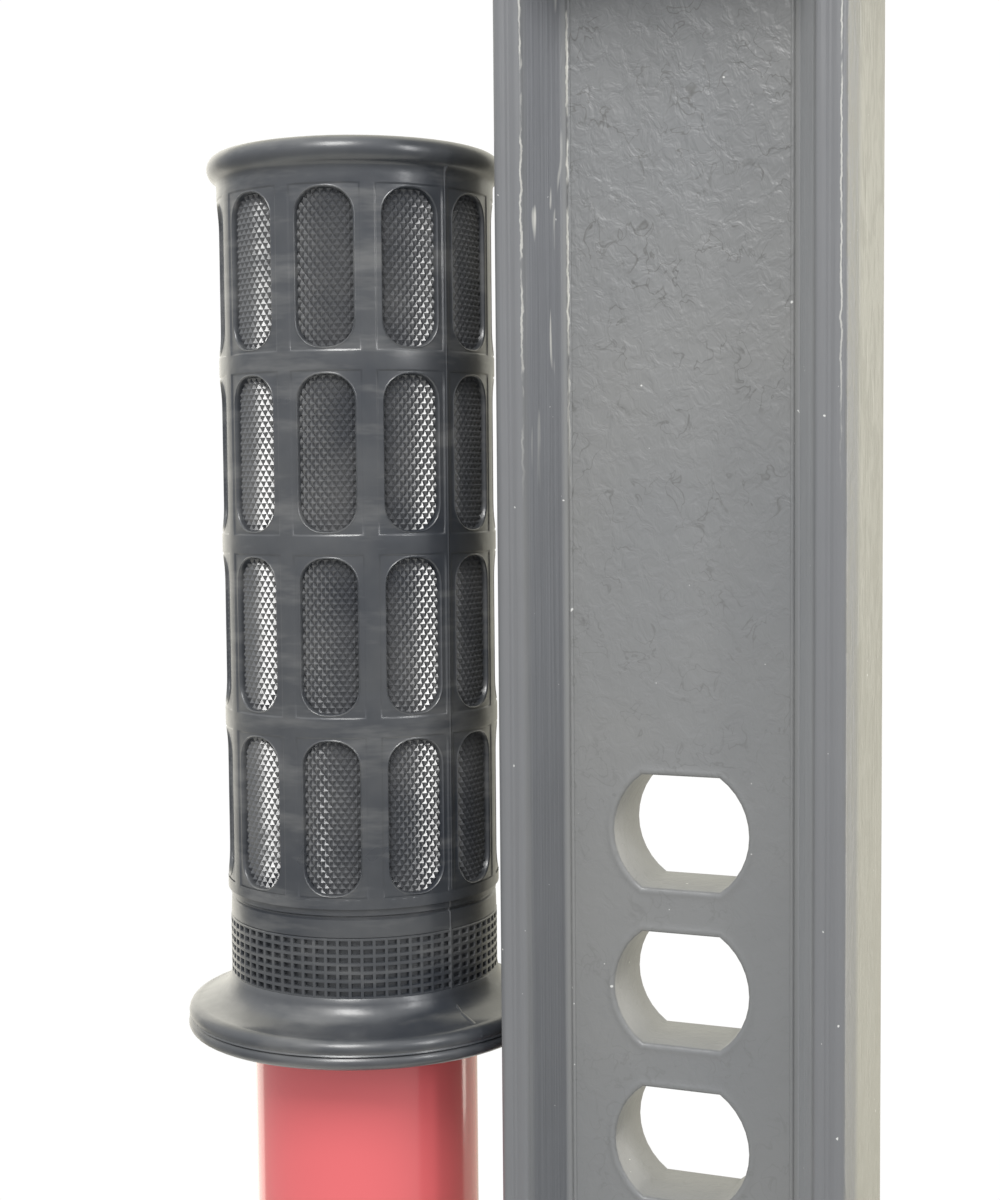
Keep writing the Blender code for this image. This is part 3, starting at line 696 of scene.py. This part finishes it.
def bar_paint():
    """Thick grey enamel on hot-rolled steel: dimples on the web, rolling lines on the flanges, specks, with
    painted light and shade in the colour: a shaded left wall lighter at its top, a lighter right fillet,
    light warm sides, darker flange tips, shaded dimple rims and wave lines, and painted highlights on edges.
    """
    m = Shading("grey_hammered_paint")
    m.set(Specular_IOR_Level=0.5, Coat_Weight=0.12, Coat_Roughness=0.12)
    split = m.node("ShaderNodeSeparateXYZ")
    m.link(m.place, split.inputs["Vector"])
    x = split.outputs["X"]
    height = split.outputs["Z"]
    across = m.off(x)
    flange = m.span(across, 0.0, 1.0, *FLANGE_START)
    web = m.span(across, 1.0, 0.0, *WEB_END)
    upper = m.span(height, 0.30, 1.0, 0.92, 1.0)
    fillet = m.times(m.span(across, 0.0, 1.0, *WALL_START), m.span(across, 0.75, 0.0, *WALL_END))
    wall = m.times(fillet, m.span(x, 1.0, 0.0, -0.0010, 0.0))
    right_fillet_light = m.times(fillet, m.span(x, 0.0, 1.0, 0.0, 0.0010))
    side = m.span(across, 0.0, 1.0, *SIDE_START)

    colour = m.tones(m.noise(24.0, 3.0), (0.188, 0.193, 0.198), (0.214, 0.215, 0.212))
    # painted light: the right fillet lighter, against the shade its slope gives it
    colour = m.blend(right_fillet_light, colour, (0.290, 0.296, 0.306))
    # painted shade: the left flange's recessed inner wall darker
    colour = m.blend(wall, colour, (0.112, 0.117, 0.129))
    # painted light: the left inner wall lighter towards the top
    wall_top_light = m.times(wall, m.span(height, 0.0, 1.0, 0.93, 1.03))
    colour = m.blend(wall_top_light, colour, (0.185, 0.190, 0.204))
    # painted shade: the flange tips' faces darker than the same paint on the web
    colour = m.blend(m.span(across, 0.0, 0.8, *TIP_START), colour, (0.160, 0.163, 0.172))
    # painted light: both side faces lighter and warm, as if lit by the warm light from behind
    behind_front = m.span(split.outputs["Y"], 0.0, 0.8, *FRONT_END)
    colour = m.blend(m.times(side, behind_front), colour, (0.314, 0.306, 0.263))
    # painted shade: darker wavy lines on the side faces, stronger towards the top; the waves themselves are
    # the bump below
    wave_shade_lines = m.mask(m.noise(340.0, 2.0, 0.5, (1, 1, 0.35), 1.5), 0.44, 0.53, 1.0, 0.0)
    shade = m.times(m.times(side, wave_shade_lines), m.span(height, 0.12, 0.5, 0.90, 1.0))
    colour = m.blend(shade, colour, (0.170, 0.165, 0.140))
    # painted shade: thin dark rims round the dimples on the web, in patches, stronger towards the top
    dimples = m.noise(330.0, 2.0, 0.5, (1, 1, 0.85), 0.8)
    dimple_shade_rims = m.ramp(dimples, [(0.45, (0, 0, 0)), (0.47, (1, 1, 1)), (0.49, (0, 0, 0))])
    patches = m.mask(m.noise(150.0, 2.0), 0.44, 0.56, 0.0, 0.9)
    colour = m.blend(m.times(m.times(dimple_shade_rims, patches), m.times(web, upper)), colour, (0.120, 0.120, 0.116))
    # painted highlights on the edges and on the left inner wall, near the top only
    colour = painted_edge_highlights(m, x, height, wall, colour)
    specks = m.mask(m.noise(1100.0, 1.0, 0.4), 0.805, 0.825)
    colour = m.blend(specks, colour, (0.62, 0.62, 0.60))

    rough = m.span(m.noise(70.0, 3.0), 0.34, 0.46)
    wrinkle = m.mask(m.noise(470.0, 3.0, 0.6, (1, 1, 0.85), 0.5), 0.36, 0.64)
    wrinkle = m.times(m.times(wrinkle, web), upper)
    rolled = m.times(m.noise(1300.0, 3.0, 0.6, (1, 1, 0.012)), flange)
    wavy = m.times(m.noise(340.0, 2.0, 0.5, (1, 1, 0.4), 1.2), side)
    normal = m.bump(m.noise(110.0, 2.0, 0.5, (1, 1, 0.5)), 0.3, 0.0012)
    normal = m.bump(wrinkle, 0.5, 0.00022, normal)
    normal = m.bump(rolled, 0.6, 0.00022, normal)
    normal = m.bump(wavy, 0.7, 0.00038, normal)
    return m.finish(colour, rough, normal)


def red_paint():
    """Glossy red enamel on a drawn tube, with faint draw lines along it."""
    m = Shading("red_gloss_paint")
    m.set(Coat_Weight=0.5, Coat_Roughness=0.06, Specular_IOR_Level=0.5)
    colour = m.tones(m.noise(9.0, 2.0, 0.5, (1, 1, 0.3)), (0.73, 0.132, 0.142), (0.79, 0.152, 0.162))
    rough = m.span(m.noise(40.0, 3.0), 0.12, 0.2)
    lines = m.noise(260.0, 2.0, 0.5, (1, 1, 0.02))
    return m.finish(colour, rough, m.bump(lines, 0.12, 0.0002))


def rubber(name, dark, light, smooth, rough, grain_depth, painted_sheen):
    """Moulded black rubber: satin, slightly dusty, with soft flow marks and, if asked, level light bands of
    painted sheen.
    """
    m = Shading(name)
    m.set(Specular_IOR_Level=0.7, Coat_Weight=0.32, Coat_Roughness=0.2)
    colour = m.tones(m.noise(55.0, 4.0, 0.6), dark, light, 0.35, 0.75)
    if painted_sheen:
        # painted sheen: level light bands standing in for glossy reflections
        sheen_bands = m.mask(m.noise(48.0, 4.0, 0.65, (1, 1, 5)), 0.50, 0.68, 0.0, 0.6)
        colour = m.blend(sheen_bands, colour, (0.150, 0.150, 0.148))
    gloss = m.span(m.noise(70.0, 4.0, 0.6, (1, 1, 1.6)), smooth, rough)
    normal = m.bump(m.noise(38.0, 3.0, 0.55, (1, 1, 1.8), 0.8), 0.4, 0.0009)
    normal = m.bump(m.noise(1500.0, 2.0), 0.18, grain_depth, normal)
    return m.finish(colour, gloss, normal)


def cast_paint(name, dark, light, smooth):
    """Paint over a sand casting: grainy, a little worn at the high spots."""
    m = Shading(name)
    m.set(Coat_Weight=0.3, Coat_Roughness=0.2)
    colour = m.tones(m.noise(30.0, 4.0, 0.6), dark, light)
    worn = m.mask(m.node("ShaderNodeNewGeometry").outputs["Pointiness"], 0.53, 0.6)
    chips = m.mask(m.noise(240.0, 4.0, 0.7), 0.5, 0.62)
    colour = m.blend(m.times(worn, chips), colour, (0.16, 0.15, 0.145))
    rough = m.span(m.noise(120.0, 3.0), smooth, smooth + 0.18)
    normal = m.bump(m.noise(140.0, 2.0), 0.35, 0.0006)
    normal = m.bump(m.noise(900.0, 3.0, 0.6), 0.4, 0.00018, normal)
    return m.finish(colour, rough, normal)


def plated(name, dark, light, smooth, rough):
    """Bright metal with a cloudy plating and fine turning marks."""
    m = Shading(name)
    m.set(Metallic=1.0)
    colour = m.tones(m.noise(140.0, 4.0, 0.6), dark, light)
    cloudy = m.span(m.noise(320.0, 4.0, 0.65), smooth, rough)
    marks = m.noise(900.0, 2.0, 0.5, (1, 0.08, 1))
    return m.finish(colour, cloudy, m.bump(marks, 0.2, 0.00008))


def pale_floor():
    """Matt off-white paint."""
    m = Shading("pale_floor")
    m.set(Roughness=0.8)
    return m.finish(m.tones(m.noise(3.0, 2.0), (0.80, 0.80, 0.79), (0.83, 0.83, 0.82)))


# ---------------------------------------------------------------- studio


# light for everything but the camera's own rays: by depth, cool in front and warm behind, then by height
SKY_DEPTH = [
    (-1.0, (0.34, 0.35, 0.37)),
    (0.0, (0.38, 0.39, 0.40)),
    (0.35, (0.42, 0.41, 0.36)),
    (1.0, (0.46, 0.45, 0.39)),
]
SKY_HEIGHT = [
    (-1.0, (0.62, 0.60, 0.56)),
    (-0.12, (0.74, 0.73, 0.70)),
    (0.12, (1.0, 1.0, 1.0)),
    (1.0, (1.9, 1.88, 1.82)),
]
SKY_STRENGTH = 2.0
BACKDROP_STRENGTH = 1.02
# the camera: lens in millimetres, turns in radians, place in millimetres
LENS = 56.56
YAW = 0.3873
PITCH = 0.0644
ROLL = -0.0087
EYE = (70.25, -239.15, GRIP_TOP - 44.6)


def add_area(name, eye, at, wide, tall, watts, colour=(1, 1, 1)):
    """A rectangular lamp at eye, turned to face at."""
    light = bpy.data.lights.new(name, "AREA")
    light.shape = "RECTANGLE"
    light.size = wide
    light.size_y = tall
    light.energy = watts
    light.color = colour
    made = bpy.data.objects.new(name, light)
    bpy.context.scene.collection.objects.link(made)
    made.location = eye
    made.rotation_euler = (Vector(at) - Vector(eye)).to_track_quat("-Z", "Y").to_euler()


def sky_ramp(tree, source, stops):
    """A colour that follows one direction of the world from -1 to 1."""
    shift = tree.nodes.new("ShaderNodeMapRange")
    shift.inputs["From Min"].default_value = -1.0
    tree.links.new(source, shift.inputs["Value"])
    ramp = tree.nodes.new("ShaderNodeValToRGB")
    tree.links.new(shift.outputs["Result"], ramp.inputs["Fac"])
    elements = ramp.color_ramp.elements
    while len(elements) < len(stops):
        elements.new(0.5)
    for element, (at, colour) in zip(elements, stops):
        element.position = (at + 1) / 2
        element.color = (*colour, 1.0)
    return ramp.outputs["Color"]


def make_world():
    """White as the camera sees it, and the sky above for light and reflections."""
    world = bpy.data.worlds.new("studio")
    bpy.context.scene.world = world
    world.use_nodes = True
    tree = world.node_tree
    tree.nodes.clear()
    out = tree.nodes.new("ShaderNodeOutputWorld")
    seen = tree.nodes.new("ShaderNodeBackground")
    seen.inputs["Color"].default_value = (1.0, 1.0, 1.0, 1.0)
    seen.inputs["Strength"].default_value = BACKDROP_STRENGTH
    coords = tree.nodes.new("ShaderNodeTexCoord")
    split = tree.nodes.new("ShaderNodeSeparateXYZ")
    tree.links.new(coords.outputs["Generated"], split.inputs["Vector"])
    depth = sky_ramp(tree, split.outputs["Y"], SKY_DEPTH)
    height = sky_ramp(tree, split.outputs["Z"], SKY_HEIGHT)
    both = tree.nodes.new("ShaderNodeMix")
    both.data_type = "RGBA"
    both.blend_type = "MULTIPLY"
    both.inputs["Factor"].default_value = 1.0
    tree.links.new(depth, both.inputs[6])
    tree.links.new(height, both.inputs[7])
    glow = tree.nodes.new("ShaderNodeBackground")
    tree.links.new(both.outputs[2], glow.inputs["Color"])
    glow.inputs["Strength"].default_value = SKY_STRENGTH
    path = tree.nodes.new("ShaderNodeLightPath")
    mix = tree.nodes.new("ShaderNodeMixShader")
    tree.links.new(path.outputs["Is Camera Ray"], mix.inputs["Fac"])
    tree.links.new(glow.outputs["Background"], mix.inputs[1])
    tree.links.new(seen.outputs["Background"], mix.inputs[2])
    tree.links.new(mix.outputs["Shader"], out.inputs["Surface"])


def make_camera():
    """Close to the top of the bar, turned to the left and a little down."""
    camera = bpy.data.cameras.new("camera")
    camera.sensor_width = 36.0
    camera.lens = LENS
    made = bpy.data.objects.new("camera", camera)
    bpy.context.scene.collection.objects.link(made)
    look = Vector((-math.sin(YAW) * math.cos(PITCH), math.cos(YAW) * math.cos(PITCH), -math.sin(PITCH)))
    level = Vector((math.cos(YAW), math.sin(YAW), 0.0))
    up = level.cross(look)
    right = level * math.cos(ROLL) + up * math.sin(ROLL)
    upright = up * math.cos(ROLL) - level * math.sin(ROLL)
    turn = Matrix((right, upright, -look)).transposed().to_4x4()
    made.matrix_world = Matrix.Translation(Vector(EYE) * MM) @ turn
    bpy.context.scene.camera = made


def make_floor():
    """A round pale floor just under the base, its rim turned down."""
    bm = bmesh.new()
    turns = [2 * math.pi * i / FLOOR_SIDES for i in range(FLOOR_SIDES)]
    levels = [(radius, FLOOR_LEVEL) for radius in FLOOR_RADII]
    levels.append((FLOOR_EDGE, FLOOR_LEVEL - FLOOR_DROP))
    skin(bm, [[bm.verts.new((r * math.cos(a), r * math.sin(a), z)) for a in turns] for r, z in levels])
    floor = piece_from("floor", bm)
    floor.data.materials.append(pale_floor())


# ---------------------------------------------------------------- assembly


def dress(piece, material, body, slot, *replaced):
    """Gives a piece its material and the body it rides on, and hides the CAD nodes it stands in for; the
    slot is not used.
    """
    piece.data.materials.clear()
    piece.data.materials.append(material)
    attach(piece, body)
    if replaced:
        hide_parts(*replaced)


grip_rubber = rubber(
    "moulded_rubber", (0.027, 0.031, 0.039), (0.080, 0.082, 0.085), 0.20, 0.46, 0.00006, painted_sheen=True
)
# the pads' rubber is the grip's rubber painted lighter: painted light on the knurled pads
pad_rubber_painted_light = rubber(
    "knurled_rubber", (0.050, 0.053, 0.060), (0.116, 0.116, 0.118), 0.16, 0.24, 0.00001, painted_sheen=False
)
red_cast = cast_paint("red_cast_paint", (0.42, 0.030, 0.030), (0.52, 0.045, 0.042), 0.28)
black_cast = cast_paint("black_cast_paint", (0.020, 0.020, 0.022), (0.034, 0.034, 0.036), 0.34)
finish_of_slot = {
    "red_cast": red_cast,
    "black_cast": black_cast,
    "zinc": plated("zinc_plate", (0.50, 0.50, 0.49), (0.66, 0.66, 0.64), 0.24, 0.4),
    "steel": plated("bare_steel", (0.30, 0.30, 0.31), (0.44, 0.44, 0.45), 0.25, 0.45),
    "spring_steel": plated("spring_steel", (0.16, 0.16, 0.17), (0.26, 0.26, 0.27), 0.3, 0.45),
}

dress(make_bar(), bar_paint(), "bar_and_base", "bar_paint", "climbing_bar")
dress(make_tube(), red_paint(), "handle", "red_paint", "handle_tube")
dress(make_grip_body(), grip_rubber, "handle", "grip_rubber", "handle_grip")
dress(make_knurled_pads(), pad_rubber_painted_light, "handle", "grip_rubber")
dress(make_pit_band(), grip_rubber, "handle", "grip_rubber")
dress(make_seam(), grip_rubber, "handle", "grip_rubber")

# castings, with the size in millimetres of the cells that soften their edges
CASTING_CELLS = {
    "base_plate": 1.0,
    "clevis_body": 0.7,
    "large_runner": 0.8,
    "small_runner": 0.8,
    "handle_socket": 0.8,
    "reversing_latch": 0.45,
}
record = frame["record"]
slot_of = {entry["node"]: entry["material_slot"] for entry in record["subparts"]}
body_of = {node: body for body, members in record["behaviour"]["bodies"].items() for node in members}
for node, cell in CASTING_CELLS.items():
    slot = slot_of[node]
    dress(rounded_casting(node, cell), finish_of_slot[slot], body_of[node], slot, node)
redrawn = {"climbing_bar", "handle_tube", "handle_grip", *CASTING_CELLS}
for node, slot in slot_of.items():
    if node not in redrawn:
        dress(machined(node), finish_of_slot[slot], body_of[node], slot, node)

make_floor()
make_world()
make_camera()
bpy.context.scene.view_settings.view_transform = "Standard"
top = GRIP_TOP * MM
add_area("key", (0.03, -0.45, top + 0.37), (0, 0, top - 0.04), 0.18, 0.26, 2.3, (1.0, 0.99, 0.97))
add_area("edge", (0.34, -0.16, top + 0.12), (0, 0, top), 0.04, 0.20, 0.35)
add_area("left", (-0.95, 0.70, top), (0, 0, top - 0.1), 0.9, 1.4, 4.0, (1.0, 0.97, 0.90))
add_area("side", (0.95, 0.90, top + 0.05), (0, 0, top - 0.15), 0.9, 1.4, 9.0, (1.0, 0.96, 0.87))
